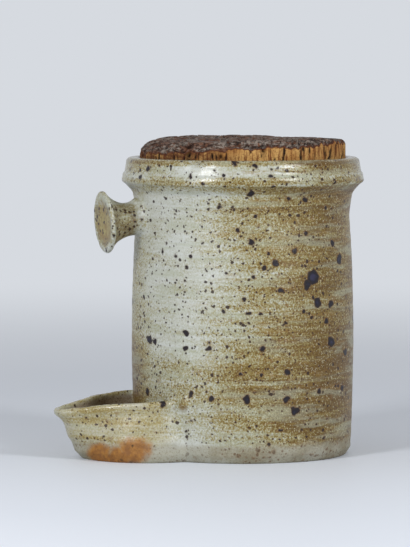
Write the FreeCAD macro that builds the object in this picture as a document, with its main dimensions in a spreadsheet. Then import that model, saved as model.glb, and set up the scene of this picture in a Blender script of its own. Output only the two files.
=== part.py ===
import FreeCAD, Part
import math
import os
import Sketcher

# A stoneware gherkin pot with a cork lid.
#
# The pot is one fired piece: a thrown, slightly barrelled cylinder with a heavy collar
# round its mouth, a mushroom knob high on one side and, below the knob, a low drip dish
# with a drawn-out pouring lip.  A gallery inside the collar carries the lid, a thick disc
# sawn from a slab of cork bark that keeps the curve of the tree on its top.
#
# Origin: centre of the pot's foot, on the surface it stands on.  +Z up, and the knob and
# the dish point along -X.  Millimetres and degrees.

SIZES = [
    # the thrown wall, measured outside
    ("rim_height", 178.3, "top of the collar"),
    ("body_radius", 65.0, "outside of the wall just above the foot"),
    ("belly_swell", 1.6, "how far the belly stands out past the body radius"),
    ("belly_height", 66.0, "height of the belly"),
    ("neck_draw", 0.8, "how far the neck is drawn in from the body radius"),
    ("neck_drop", 36.3, "from the rim down to the neck"),
    ("foot_bevel_height", 4.5, "height of the bevel round the foot"),
    ("foot_bevel_width", 2.7, "how far that bevel cuts in"),
    # the collar
    ("collar_drop", 15.3, "from the rim down to the collar's lower lip"),
    ("collar_overhang", 7.5, "how far the lower lip stands out past the body radius"),
    ("collar_lean", 2.2, "how far the collar leans in from its lip to its top"),
    ("collar_undercut", 5.0, "height of the sloping underside"),
    ("collar_root", 1.3, "wall radius under the collar, past the body radius"),
    ("collar_lip_round", 1.4, "half the thickness of the lower lip's round"),
    ("rim_round", 3.2, "round of the collar's outer top edge"),
    ("neck_curve", 62.0, "radius of the hollow curve from the neck to the collar"),
    # inside the pot
    ("wall", 6.3, "thickness of the thrown wall"),
    ("floor", 9.0, "thickness of the pot's floor"),
    ("floor_round", 11.0, "inside round between floor and wall"),
    ("collar_wall", 8.1, "thickness of the collar at its top, outside the gallery"),
    ("gallery_depth", 12.3, "from the rim down to the ledge that carries the lid"),
    ("ledge_width", 4.9, "width of that ledge"),
    ("throat_height", 8.0, "height of the straight throat below the ledge"),
    ("gallery_round", 1.2, "round of the collar's inner top edge"),
    # the mushroom knob
    ("knob_height", 142.4, "where the knob's axis meets the wall"),
    ("knob_droop", 5.0, "how far the knob points down"),
    ("knob_length", 23.8, "from the wall to the rim of the knob's face"),
    ("knob_radius", 18.5, "outside of the knob's disc"),
    ("knob_edge", 1.3, "half the thickness of the disc's edge"),
    ("knob_hollow", 1.4, "depth of the dimple in the face"),
    ("knob_neck_radius", 9.7, "slimmest part of the stem"),
    ("knob_neck_out", 6.0, "from the wall to the slimmest part"),
    ("knob_root_radius", 15.0, "flare of the stem's root inside the wall"),
    ("knob_root_depth", 2.0, "how deep the root is sunk into the wall"),
    # the drip dish
    ("dish_inset", 5.0, "how far inside the body radius the dish's centre lies"),
    ("dish_foot_radius", 40.0, "dish where it stands"),
    ("dish_foot_reach", 40.2, "tip of the dish's foot from the dish's centre"),
    ("dish_foot_tip_round", 27.0, "round of the foot's tip, seen from above"),
    ("dish_wall_radius", 42.0, "outside of the dish above its bevel"),
    ("dish_wall_reach", 44.6, "tip of the wall above the bevel from the dish's centre"),
    ("dish_wall_tip_round", 26.0, "round of that tip, seen from above"),
    ("dish_rim_radius", 37.6, "outside of the dish at its rim"),
    ("dish_rim_height", 36.2, "height of the rim where it meets the pot"),
    ("spout_reach", 58.5, "tip of the pouring lip from the dish's centre"),
    ("spout_height", 29.4, "height of the pouring lip"),
    ("spout_round", 9.0, "round of the pouring lip, seen from above"),
    ("spout_curve", 1.3, "power by which the lip draws out, 1 for a straight slope"),
    ("rim_sag_reach", 28.0, "where the rim's height is taken, from the dish's centre"),
    ("rim_sag_height", 34.2, "height of the rim there"),
    ("dish_wall", 5.0, "thickness of the dish's wall at its floor"),
    ("dish_lip", 3.4, "thickness of the dish's wall at its rim"),
    ("dish_floor", 8.0, "thickness of the dish's floor"),
    ("dish_floor_round", 5.0, "inside round between the dish's floor and wall"),
    ("dish_lip_round", 1.6, "outer round of the dish's rim"),
    ("fairing", 9.0, "radius of the clay smoothed in between dish and pot"),
    ("fairing_bite", 0.4, "how deep that clay runs into the wall"),
    # the cork lid
    ("cork_clearance", 0.5, "between the lid's edge and the gallery"),
    ("cork_seat_gap", 0.0, "between the lid and its ledge"),
    ("cork_thickness", 24.6, "lid at its thickest"),
    ("bark_curve", 720.0, "radius of the bark's curve, that of the tree"),
    ("bark_round", 3.0, "round of the lid's upper edge"),
    ("cork_chamfer", 1.0, "chamfer of the lid's lower edge"),
]

GALLERY_RADIUS = "(<body_radius> + <collar_overhang> - <collar_lean> - <collar_wall>)"
DISH_CENTRE = "(<body_radius> - <dish_inset>)"  # from the pot's axis
SPOUT_TIP = f"({DISH_CENTRE} + <spout_reach>)"  # from the pot's axis

SECTIONS = 5  # plan sections through the dish's wall
FLOOR_SHARES = (0.0, 0.3, 1.0)  # sections up the round between the dish's floor and wall
WALL_SHARES = (0.5, 1.0)  # sections from there to the top
MARGIN = 1.0  # how far cutters reach past what they cut
FLAT = 0.01  # an edge this near the sawn face lies in it
POT = "pot"
LID = "cork_lid"


def fill_sheet(doc):
    """Puts the driving dimensions in a sheet, one named cell each."""
    sheet = doc.addObject("Spreadsheet::Sheet", "sizes")
    for row, (name, value, meaning) in enumerate(SIZES, start=1):
        sheet.set(f"A{row}", name)
        sheet.set(f"B{row}", str(value))
        sheet.setAlias(f"B{row}", name)
        sheet.set(f"C{row}", meaning)
    doc.recompute()


def origin_plane(body, role):
    return next(item for item in body.Origin.OriginFeatures if item.Role == role)


def named(text):
    """An expression on the sheet's names, as the document writes it."""
    for name in sorted((row[0] for row in SIZES), key=len, reverse=True):
        text = text.replace(f"<{name}>", f"sizes.{name}")
    return text


class Outline:
    """A closed outline in a sketch of its own, every point and radius held by the sheet.

    Places and radii are expressions with the sheet's names in angle brackets.
    """

    def __init__(self, body, name, role):
        self.sketch = body.newObject("Sketcher::SketchObject", name)
        self.sketch.AttachmentSupport = (origin_plane(body, role), [""])
        self.sketch.MapMode = "FlatFace"
        self.edges = []
        self.corners = []

    def size(self, text):
        return float(self.sketch.evalExpression(named(text)))

    def point(self, across, up):
        return FreeCAD.Vector(self.size(across), self.size(up), 0)

    def constrain(self, *items):
        return self.sketch.addConstraint(Sketcher.Constraint(*items))

    def drive(self, kind, items, text):
        """A constraint whose value follows the sheet."""
        index = self.constrain(kind, *items, self.size(text))
        self.sketch.setExpression(f"Constraints[{index}]", named(text))

    def hold(self, geometry, end, across, up):
        """Holds one point of the sketch at a place."""
        for kind, axis, text in (("DistanceX", -2, across), ("DistanceY", -1, up)):
            value = self.size(text)
            if value == 0.0:
                self.constrain("PointOnObject", geometry, end, axis)
            elif value > 0.0:
                self.drive(kind, (-1, 1, geometry, end), text)
            else:
                self.drive(kind, (geometry, end, -1, 1), f"-({text})")

    def start(self, across, up):
        self.corners.append((across, up))

    def add(self, curve, reverse, across, up):
        """Adds an edge to the next corner, and notes which of its ends comes first."""
        edge = self.sketch.addGeometry(curve)
        self.edges.append((edge, 2, 1) if reverse else (edge, 1, 2))
        self.corners.append((across, up))
        return edge

    def line(self, across, up):
        ends = self.point(*self.corners[-1]), self.point(across, up)
        self.add(Part.LineSegment(*ends), False, across, up)

    def bow(self, middle, across, up):
        """An arc through a middle point; a sketch keeps every arc counter-clockwise."""
        begin, end = self.point(*self.corners[-1]), self.point(across, up)
        clockwise = (middle - begin).cross(end - middle).z < 0
        if clockwise:
            begin, end = end, begin
        return self.add(Part.Arc(begin, middle, end), clockwise, across, up)

    def arc(self, across, up, radius, turn):
        """An arc of a given radius; turn is 1 where it turns left, -1 where right."""
        begin, end = self.point(*self.corners[-1]), self.point(across, up)
        size = self.size(radius)
        chord = end - begin
        half = chord.Length / 2
        rise = size - math.sqrt(max(size * size - half * half, 0.0))
        side = FreeCAD.Vector(chord.y, -chord.x, 0).normalize() * turn
        edge = self.bow((begin + end) * 0.5 + side * rise, across, up)
        self.drive("Radius", (edge,), radius)

    def arc_through(self, across, up, middle_across, middle_up):
        """An arc through a third point, which is held as the corners are."""
        middle = self.point(middle_across, middle_up)
        edge = self.bow(middle, across, up)
        mark = self.sketch.addGeometry(Part.Point(middle), True)
        self.hold(mark, 1, middle_across, middle_up)
        self.constrain("PointOnObject", mark, 1, edge)

    def close(self):
        """Ties the edges into a loop, with a last line where it needs one, and holds it."""
        if self.corners[-1] != self.corners[0]:
            self.line(*self.corners[0])
        for index, (edge, first, _) in enumerate(self.edges):
            before, _, last = self.edges[index - 1]
            self.constrain("Coincident", before, last, edge, first)
            self.hold(edge, first, *self.corners[index])
        self.sketch.Document.recompute()


def dish_level(height):
    """How far up the dish's wall a height lies: 0 at the bevel, 1 at the rim's highest."""
    return f"(({height} - <foot_bevel_height>) / (<dish_rim_height> - <foot_bevel_height>))"


def dish_plan(height):
    """Radius, reach and tip round of the dish's outside at a height, as expressions."""
    level = dish_level(height)
    rise = f"(({height} - <foot_bevel_height>) / (<spout_height> - <foot_bevel_height>))"
    radius = f"(<dish_wall_radius> + (<dish_rim_radius> - <dish_wall_radius>) * {level})"
    reach = f"(<dish_wall_reach> + (<spout_reach> - <dish_wall_reach>) * {rise} ^ <spout_curve>)"
    change = "(<dish_wall_tip_round> - <spout_round>)"
    tip = f"(<spout_round> + {change} * max(0; 1 - {rise}))"
    return radius, reach, tip


def egg_section(body, name, height, plan, inset="0", pot_radius=None):
    """A plan section of the dish: a round drawn out to a smaller round at the tip.

    Without a pot radius the large round is whole.  With one it runs out into two arcs of
    clay that meet the pot's wall, and a straight line inside the pot closes the loop.
    """
    radius, reach, tip = (f"({text} - {inset})" for text in plan)
    tip_centre = f"({tip} - {reach} - {DISH_CENTRE})"
    outline = Outline(body, name, "XY_Plane")
    sketch = outline.sketch
    sketch.setExpression("AttachmentOffset.Base.z", named(height))
    big, small = outline.size(radius), outline.size(tip)
    big_x = -outline.size(DISH_CENTRE)
    small_x = outline.size(tip_centre)
    lean = math.acos((big - small) / (big_x - small_x))

    def on_round(centre_x, size, angle):
        return FreeCAD.Vector(centre_x + size * math.cos(angle), size * math.sin(angle), 0)

    def arc_about(centre_x, size, first, last):
        """An arc about a centre on the X axis, counter-clockwise."""
        circle = Part.Circle(FreeCAD.Vector(centre_x, 0, 0), FreeCAD.Vector(0, 0, 1), size)
        return sketch.addGeometry(Part.ArcOfCircle(circle, first, last))

    left, right = math.pi - lean, math.pi + lean
    tip_arc = arc_about(small_x, small, left, right)
    lower = sketch.addGeometry(
        Part.LineSegment(on_round(small_x, small, right), on_round(big_x, big, right))
    )
    upper = sketch.addGeometry(
        Part.LineSegment(on_round(big_x, big, left), on_round(small_x, small, left))
    )
    outline.drive("Radius", (tip_arc,), tip)
    outline.hold(tip_arc, 3, tip_centre, "0")
    outline.constrain("Tangent", tip_arc, 2, lower, 1)
    outline.constrain("Tangent", upper, 2, tip_arc, 1)

    if pot_radius is None:
        round_arc = arc_about(big_x, big, right, left + 2 * math.pi)
        outline.drive("Radius", (round_arc,), radius)
        outline.hold(round_arc, 3, f"-{DISH_CENTRE}", "0")
        outline.constrain("Tangent", lower, 2, round_arc, 1)
        outline.constrain("Tangent", round_arc, 2, upper, 1)
        return sketch

    fair = outline.size("<fairing>")
    span = outline.size(f"{pot_radius} + <fairing> - <fairing_bite>")
    centre = -big_x
    fair_x = -(span**2 + centre**2 - (big + fair) ** 2) / (2 * centre)
    fair_y = math.sqrt(span**2 - fair_x**2)
    touch = math.atan2(fair_y, fair_x - big_x)
    inward = math.atan2(-fair_y, -fair_x)
    arcs = {}
    for side in (-1, 1):
        hub = FreeCAD.Vector(fair_x, side * fair_y, 0)
        circle = Part.Circle(hub, FreeCAD.Vector(0, 0, 1), fair)
        if side < 0:
            round_arc = arc_about(big_x, big, right, 2 * math.pi - touch)
            fair_arc = sketch.addGeometry(Part.ArcOfCircle(circle, -inward, math.pi - touch))
            outline.constrain("Tangent", lower, 2, round_arc, 1)
            outline.constrain("Tangent", round_arc, 2, fair_arc, 2)
            free_end = 1
        else:
            round_arc = arc_about(big_x, big, touch, left)
            fair_arc = sketch.addGeometry(
                Part.ArcOfCircle(circle, math.pi + touch, 2 * math.pi + inward)
            )
            outline.constrain("Tangent", round_arc, 2, upper, 1)
            outline.constrain("Tangent", round_arc, 1, fair_arc, 1)
            free_end = 2
        spoke = sketch.addGeometry(Part.LineSegment(FreeCAD.Vector(0, 0, 0), hub), True)
        outline.constrain("Coincident", spoke, 1, -1, 1)
        outline.constrain("Coincident", spoke, 2, fair_arc, 3)
        outline.drive("Distance", (spoke,), f"{pot_radius} + <fairing> - <fairing_bite>")
        outline.constrain("PointOnObject", fair_arc, free_end, spoke)
        outline.drive("Radius", (round_arc,), radius)
        outline.hold(round_arc, 3, f"-{DISH_CENTRE}", "0")
        outline.drive("Radius", (fair_arc,), "<fairing>")
        arcs[side] = (fair_arc, free_end)
    near, far = arcs[-1], arcs[1]
    ends = [
        getattr(sketch.Geometry[edge], "StartPoint" if end == 1 else "EndPoint")
        for edge, end in (near, far)
    ]
    closing = sketch.addGeometry(Part.LineSegment(*ends))
    outline.constrain("Coincident", closing, 1, *near)
    outline.constrain("Coincident", closing, 2, *far)
    return sketch


def loft(body, kind, name, sections, ruled=False):
    feature = body.newObject(kind, name)
    feature.Profile = sections[0]
    feature.Sections = sections[1:]
    feature.Ruled = ruled
    body.Document.recompute()
    return feature


def edges_where(shape, test):
    """Names of the edges that pass a test."""
    return [f"Edge{index}" for index, edge in enumerate(shape.Edges, start=1) if test(edge)]


def fillet(body, name, base, edges, radius):
    feature = body.newObject("PartDesign::Fillet", name)
    feature.Base = (base, edges)
    feature.setExpression("Radius", named(radius))
    body.Document.recompute()
    return feature


def drip_dish(body):
    """The dish: drawn-out walls on a bevelled foot, hollowed, its rim cut to a curve."""
    contact = ("<dish_foot_radius>", "<dish_foot_reach>", "<dish_foot_tip_round>")
    bevel = "<foot_bevel_height>"
    standing = "(<body_radius> - <foot_bevel_width>)"
    foot_sections = [
        egg_section(body, "dish_contact", "0", contact, pot_radius=standing),
        egg_section(body, "dish_bevel_top", bevel, dish_plan(bevel), pot_radius="<body_radius>"),
    ]
    loft(body, "PartDesign::AdditiveLoft", "dish_foot", foot_sections, ruled=True)

    top = f"(<dish_rim_height> + {MARGIN})"
    walls = []
    for index in range(SECTIONS):
        height = f"({bevel} + ({top} - {bevel}) * {index / (SECTIONS - 1)})"
        name = f"dish_wall_{index}"
        walls.append(egg_section(body, name, height, dish_plan(height), pot_radius="<body_radius>"))
    loft(body, "PartDesign::AdditiveLoft", "dish_outside", walls)

    # The hollow starts as a quarter round off the floor and then follows the wall.
    hollows = []
    round_top = "(<dish_floor> + <dish_floor_round>)"
    levels = [f"(<dish_floor> + <dish_floor_round> * {share})" for share in FLOOR_SHARES]
    falls = [1 - math.sqrt(1 - (1 - share) ** 2) for share in FLOOR_SHARES]
    insets = [f"(<dish_floor_round> * {fall})" for fall in falls]
    for share in WALL_SHARES:
        levels.append(f"({round_top} + ({top} - {round_top}) * {share})")
        insets.append("0")
    for index, (height, inset) in enumerate(zip(levels, insets)):
        thick = f"(<dish_wall> + (<dish_lip> - <dish_wall>) * {dish_level(height)} + {inset})"
        name = f"dish_hollow_{index}"
        hollows.append(egg_section(body, name, height, dish_plan(height), inset=thick))
    loft(body, "PartDesign::SubtractiveLoft", "dish_inside", hollows)

    curve = Outline(body, "dish_rim_curve", "XZ_Plane")
    back = "-(<body_radius> - <wall>)"
    above = f"<dish_rim_height> + 2 * {MARGIN}"
    _, reach_at_top, _ = dish_plan(top)
    beyond = f"-({DISH_CENTRE} + {reach_at_top} + {MARGIN})"
    sag = f"-({DISH_CENTRE} + <rim_sag_reach>)"
    curve.start("0", above)
    curve.line(beyond, above)
    curve.line(beyond, "<spout_height>")
    curve.line(f"-{SPOUT_TIP}", "<spout_height>")
    curve.arc_through(back, "<dish_rim_height>", sag, "<rim_sag_height>")
    curve.line("0", "<dish_rim_height>")
    curve.close()
    body.Document.recompute()
    rim = body.newObject("PartDesign::Pocket", "dish_rim")
    rim.Profile = curve.sketch
    rim.Type = "ThroughAll"
    rim.Midplane = True
    body.Document.recompute()
    # The lip is rounded outside; its tip is the edge that reaches furthest from the pot.
    edges = rim.Shape.Edges
    tip = min(range(len(edges)), key=lambda index: edges[index].BoundBox.XMin)
    return fillet(body, "dish_lip_edge", rim, [f"Edge{tip + 1}"], "<dish_lip_round>")


def thrown_outside(body):
    """The solid of revolution inside the pot's outer surface, from foot to rim."""
    outline = Outline(body, "pot_outline", "XZ_Plane")
    lip_low = "<rim_height> - <collar_drop>"
    lip = "<body_radius> + <collar_overhang>"
    top = f"{lip} - <collar_lean>"
    outline.start("0", "0")
    outline.line("<body_radius> - <foot_bevel_width>", "0")
    outline.line("<body_radius>", "<foot_bevel_height>")
    outline.arc_through(
        "<body_radius> - <neck_draw>",
        "<rim_height> - <neck_drop>",
        "<body_radius> + <belly_swell>",
        "<belly_height>",
    )
    outline.arc(
        "<body_radius> + <collar_root>", f"{lip_low} - <collar_undercut>", "<neck_curve>", -1
    )
    outline.line(f"{lip} - <collar_lip_round>", lip_low)
    outline.arc(lip, f"{lip_low} + <collar_lip_round>", "<collar_lip_round>", 1)
    outline.line(top, "<rim_height> - <rim_round>")
    outline.arc(f"{top} - <rim_round>", "<rim_height>", "<rim_round>", 1)
    outline.line("0", "<rim_height>")
    outline.close()
    solid = body.newObject("PartDesign::Revolution", "thrown_outside")
    solid.Profile = outline.sketch
    solid.ReferenceAxis = (outline.sketch, ["V_Axis"])
    solid.Angle = 360
    body.Document.recompute()
    return solid


def knob(body):
    """The mushroom knob, turned about its own drooping axis and let into the wall."""
    outline = Outline(body, "knob_outline", "XZ_Plane")
    sketch = outline.sketch
    droop = FreeCAD.Rotation(FreeCAD.Vector(0, 0, 1), outline.size("<knob_droop>"))
    sketch.AttachmentOffset = FreeCAD.Placement(FreeCAD.Vector(0, 0, 0), droop)
    sketch.setExpression("AttachmentOffset.Base.x", named("-(<body_radius> - <neck_draw>)"))
    sketch.setExpression("AttachmentOffset.Base.y", named("<knob_height>"))
    sketch.setExpression("AttachmentOffset.Rotation.Angle", named("<knob_droop>"))
    face = "-<knob_length>"
    crest = "<knob_radius> - <knob_edge>"
    outline.start("<knob_root_depth>", "0")
    outline.line("<knob_root_depth>", "<knob_root_radius>")
    run = "(<knob_neck_out> + <knob_root_depth>)"
    climb = "(<knob_root_radius> - <knob_neck_radius>)"
    outline.arc("-<knob_neck_out>", "<knob_neck_radius>", flare_radius(run, climb), -1)
    run = "(<knob_length> - 2 * <knob_edge> - <knob_neck_out>)"
    climb = f"({crest} - <knob_neck_radius>)"
    outline.arc(f"{face} + 2 * <knob_edge>", crest, flare_radius(run, climb), -1)
    outline.arc_through(face, crest, f"{face} + <knob_edge>", "<knob_radius>")
    outline.arc(f"{face} + <knob_hollow>", "0", flare_radius(f"({crest})", "<knob_hollow>"), -1)
    outline.line("<knob_root_depth>", "0")
    outline.close()
    solid = body.newObject("PartDesign::Revolution", "knob")
    solid.Profile = outline.sketch
    solid.ReferenceAxis = (outline.sketch, ["H_Axis"])
    solid.Angle = 360
    body.Document.recompute()
    return solid


def flare_radius(run, climb):
    """Radius of an arc that starts level and climbs that much over that run."""
    return f"(({run} ^ 2 + {climb} ^ 2) / (2 * {climb}))"


def thrown_inside(body):
    """Cuts the pot's hollow: floor, wall, throat and the gallery for the lid."""
    outline = Outline(body, "hollow_outline", "XZ_Plane")
    ledge = "(<rim_height> - <gallery_depth>)"
    throat = f"({GALLERY_RADIUS} - <ledge_width>)"
    outline.start("0", "<floor>")
    outline.line("<body_radius> - <wall> - <floor_round>", "<floor>")
    outline.arc("<body_radius> - <wall>", "<floor> + <floor_round>", "<floor_round>", 1)
    outline.arc_through(
        throat,
        f"{ledge} - <throat_height>",
        "<body_radius> + <belly_swell> - <wall>",
        "<belly_height>",
    )
    outline.line(throat, ledge)
    outline.line(GALLERY_RADIUS, ledge)
    outline.line(GALLERY_RADIUS, "<rim_height> - <gallery_round>")
    mouth = f"{GALLERY_RADIUS} + <gallery_round>"
    outline.arc(mouth, "<rim_height>", "<gallery_round>", -1)
    outline.line(mouth, f"<rim_height> + {MARGIN}")
    outline.line("0", f"<rim_height> + {MARGIN}")
    outline.close()
    cut = body.newObject("PartDesign::Groove", "thrown_inside")
    cut.Profile = outline.sketch
    cut.ReferenceAxis = (outline.sketch, ["V_Axis"])
    cut.Angle = 360
    body.Document.recompute()
    return cut


def make_pot(doc):
    body = doc.addObject("PartDesign::Body", POT)
    body.Label = POT
    drip_dish(body)
    thrown_outside(body)
    knob(body)
    thrown_inside(body)
    return body


def make_lid(doc):
    """The lid: a sawn disc whose bark side keeps the curve of the tree."""
    body = doc.addObject("PartDesign::Body", LID)
    body.Label = LID
    body.setExpression(
        "Placement.Base.z", named("<rim_height> - <gallery_depth> + <cork_seat_gap>")
    )
    disc = Outline(body, "disc_outline", "XY_Plane")
    radius = f"{GALLERY_RADIUS} - <cork_clearance>"
    round_edge = Part.Circle(FreeCAD.Vector(0, 0, 0), FreeCAD.Vector(0, 0, 1), disc.size(radius))
    circle = disc.sketch.addGeometry(round_edge)
    disc.constrain("Coincident", circle, 3, -1, 1)
    disc.drive("Radius", (circle,), radius)
    doc.recompute()
    slab = body.newObject("PartDesign::Pad", "slab")
    slab.Profile = disc.sketch
    slab.setExpression("Length", named("<cork_thickness>"))
    doc.recompute()

    bark = Outline(body, "bark_outline", "XZ_Plane")
    across = f"{GALLERY_RADIUS} + {MARGIN}"
    above = f"<cork_thickness> + {MARGIN}"
    fall = f"(<bark_curve> - sqrt(<bark_curve> ^ 2 - ({across}) ^ 2))"
    bark.start(across, above)
    bark.line(f"-({across})", above)
    bark.line(f"-({across})", f"<cork_thickness> - {fall}")
    bark.arc(across, f"<cork_thickness> - {fall}", "<bark_curve>", -1)
    bark.close()
    doc.recompute()
    cut = body.newObject("PartDesign::Pocket", "bark_curve")
    cut.Profile = bark.sketch
    cut.Type = "ThroughAll"
    cut.Midplane = True
    doc.recompute()

    middle = bark.size("<cork_thickness> / 2")
    top_edges = edges_where(cut.Shape, lambda edge: edge.BoundBox.ZMin > middle)
    rounded = fillet(body, "bark_edge", cut, top_edges, "<bark_round>")
    bottom_edges = edges_where(rounded.Shape, lambda edge: edge.BoundBox.ZMax < FLAT)
    chamfer = body.newObject("PartDesign::Chamfer", "sawn_edge")
    chamfer.Base = (rounded, bottom_edges)
    chamfer.setExpression("Size", named("<cork_chamfer>"))
    doc.recompute()
    return body


def check(doc, parts):
    """Stops on any failed object, and on any sub-part without one valid solid."""
    for item in doc.Objects:
        if "Invalid" in item.State or "Error" in item.State:
            raise RuntimeError(f"{item.Name} failed: {item.State}")
    for body in parts:
        shape = body.Shape
        if shape.isNull() or not shape.isValid() or len(shape.Solids) != 1:
            raise RuntimeError(f"{body.Label} is not one valid solid")


def main():
    doc = FreeCAD.newDocument("gherkin_pot")
    fill_sheet(doc)
    parts = [make_pot(doc), make_lid(doc)]
    doc.recompute()
    check(doc, parts)
    os.makedirs("parts", exist_ok=True)
    for body in parts:
        body.Shape.exportStep(f"parts/{body.Label}.step")
        print(body.Label, "volume", round(body.Shape.Volume), "faces", len(body.Shape.Faces))


main()
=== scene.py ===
import math
import random
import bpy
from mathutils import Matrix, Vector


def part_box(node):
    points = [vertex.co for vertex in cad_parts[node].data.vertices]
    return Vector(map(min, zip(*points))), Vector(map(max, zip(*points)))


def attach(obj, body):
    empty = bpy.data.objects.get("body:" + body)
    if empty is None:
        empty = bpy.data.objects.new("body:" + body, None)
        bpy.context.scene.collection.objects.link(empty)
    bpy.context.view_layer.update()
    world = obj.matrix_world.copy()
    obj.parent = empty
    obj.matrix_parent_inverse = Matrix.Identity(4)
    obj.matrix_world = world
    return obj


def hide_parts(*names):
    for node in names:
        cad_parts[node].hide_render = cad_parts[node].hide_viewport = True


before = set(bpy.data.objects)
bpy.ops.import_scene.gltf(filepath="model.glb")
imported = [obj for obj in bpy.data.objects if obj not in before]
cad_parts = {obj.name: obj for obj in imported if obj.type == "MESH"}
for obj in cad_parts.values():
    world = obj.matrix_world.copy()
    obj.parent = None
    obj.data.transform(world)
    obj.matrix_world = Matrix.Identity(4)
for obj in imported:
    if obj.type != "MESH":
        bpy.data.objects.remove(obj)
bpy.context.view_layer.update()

from types import SimpleNamespace

import bpy
import numpy as np
from mathutils import Vector, noise
from mathutils.bvhtree import BVHTree

# A stoneware gherkin pot with a cork lid.  The two CAD solids are each replaced by a finer
# mesh of the same form, which carries the marks of the wheel and the tears of the bark.
# Metres; +Z up, the pot stands on z = 0, and its knob and dish point along -X.

MM = 0.001
POT_LOW, POT_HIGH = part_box("pot")
CORK_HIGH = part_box("cork_lid")[1]

RIM = POT_HIGH.z  # top of the collar
LIP_HEIGHT = RIM - 15.3 * MM  # underside of the collar's lower lip
LIP_RADIUS = POT_HIGH.x
COLLAR_REACH = 7.5 * MM  # how far the lower lip stands out of the wall
WALL_RADIUS = LIP_RADIUS - COLLAR_REACH
KNOB_HEIGHT = 142.4 * MM  # where the knob's stem leaves the wall
KNOB_FACE = WALL_RADIUS + 23.8 * MM  # how far out the middle of the knob's face is
KNOB_FACE_HEIGHT = 140.3 * MM
SPOUT = -POT_LOW.x  # tip of the dish's pouring lip
DISH_CENTRE = np.array([-60 * MM, 0, 0])
DISH_TOP = 36.2 * MM  # the dish's rim, at its highest
DISH_FALL = 6.8 * MM  # how far the rim falls to its lip
CORK_RADIUS = CORK_HIGH.x
CORK_TOP = CORK_HIGH.z

VIEW_AZIMUTH = math.radians(-19)  # 0 looks along +Y
VIEW_RIGHT_X = math.cos(VIEW_AZIMUTH)
VIEW_RIGHT_Y = math.sin(VIEW_AZIMUTH)
VIEW_DISTANCE = 2.4
VIEW_HEIGHT = 0.2638
AIM_ACROSS = -0.0226  # the view's centre, from the pot's axis to the view's right
AIM_HEIGHT = 0.1081
FOCAL_LENGTH = 263.25  # mm, for a sensor 36 mm long
FARTHEST_SEEN = 200

POT_VOXEL = 1.55 * MM
CORK_VOXEL = 0.8 * MM


# ---------------------------------------------------------------- meshes

SEED_SHIFT = 17.3  # how far apart two seeds read the same noise, in its periods


def smooth_step(low, high, value):
    share = np.clip((value - low) / (high - low), 0.0, 1.0)
    return share * share * (3.0 - 2.0 * share)


def bump(value, centre, width):
    """1 at the centre, falling smoothly to about 0 at twice the width."""
    return np.exp(-(((value - centre) / width) ** 2))


def turn_from(angle, centre):
    """Signed angle from a centre, both in degrees, the short way round."""
    return (angle - centre + 180.0) % 360.0 - 180.0


def along(first, second):
    """How much of each vector lies along its partner."""
    return np.einsum("ij,ij->i", first, second)


def unit_radial(points):
    flat = points * (1.0, 1.0, 0.0)
    return flat / np.maximum(np.linalg.norm(flat, axis=1), 1e-6)[:, None]


def noise_at(points, period, seed):
    """Smooth noise of about -1 to 1 at each point; the period is in mm, one or three."""
    scaled = points / (np.asarray(period) * MM) + seed * SEED_SHIFT
    return np.fromiter((noise.noise(point) for point in scaled), float, len(scaled))


class Surface:
    """The vertices of an even copy of a CAD solid, ready to be pushed about."""

    def __init__(self, node, name, voxel):
        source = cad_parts[node]
        self.piece = bpy.data.objects.new(name, source.data.copy())
        bpy.context.scene.collection.objects.link(self.piece)
        remesh = self.piece.modifiers.new("even", "REMESH")
        remesh.mode = "VOXEL"
        remesh.voxel_size = voxel
        graph = bpy.context.evaluated_depsgraph_get()
        self.mesh = bpy.data.meshes.new_from_object(self.piece.evaluated_get(graph))
        self.piece.modifiers.clear()
        self.piece.data = self.mesh
        self.mesh.materials.clear()
        self.mesh.shade_smooth()
        self.count = len(self.mesh.vertices)
        edges = np.zeros(len(self.mesh.edges) * 2, int)
        self.mesh.edges.foreach_get("vertices", edges)
        self.edges = edges.reshape(-1, 2)
        self.links = np.bincount(edges, minlength=self.count)[:, None]
        self.points = self.snapped_to(source)

        # Where each vertex lies before it is pushed: off the axis, in degrees round it, outwards.
        self.radius = np.hypot(self.x, self.y)
        self.angle = np.degrees(np.arctan2(self.y, self.x))
        self.radial = unit_radial(self.points)

    @property
    def x(self):
        return self.points[:, 0]

    @property
    def y(self):
        return self.points[:, 1]

    @property
    def z(self):
        return self.points[:, 2]

    def snapped_to(self, source):
        """Every vertex laid back on the CAD solid's own faces."""
        source_points = [vertex.co for vertex in source.data.vertices]
        faces = [tuple(face.vertices) for face in source.data.polygons]
        tree = BVHTree.FromPolygons(source_points, faces)
        return np.array([tree.find_nearest(vertex.co)[0] for vertex in self.mesh.vertices])

    def write(self):
        self.mesh.vertices.foreach_set("co", self.points.astype(np.float32).ravel())
        self.mesh.update()

    def normals(self):
        self.write()
        values = np.zeros(self.count * 3, np.float32)
        self.mesh.vertex_normals.foreach_get("vector", values)
        return values.reshape(-1, 3).astype(float)

    def averaged(self, values, times):
        """Each vertex's value replaced by the mean of its neighbours', some times over."""
        first, second = self.edges.T
        for _ in range(times):
            total = np.zeros_like(values)
            np.add.at(total, first, values[second])
            np.add.at(total, second, values[first])
            values = total / self.links
        return values

    def convexity(self, times):
        """How far each vertex stands out of its surroundings, in metres."""
        lift = self.points - self.averaged(self.points, times)
        return along(lift, self.normals())

    def mark(self, name, values):
        """Keeps a value at each vertex for the material to read."""
        layer = self.mesh.attributes.new(name, "FLOAT", "POINT")
        layer.data.foreach_set("value", np.asarray(values, np.float32))

    def noise(self, period, seed):
        return noise_at(self.points, period, seed)

    def push(self, direction, amount):
        self.points += direction * amount[:, None]

    def lift(self, amount):
        self.points[:, 2] += amount


# ---- the pot

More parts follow.
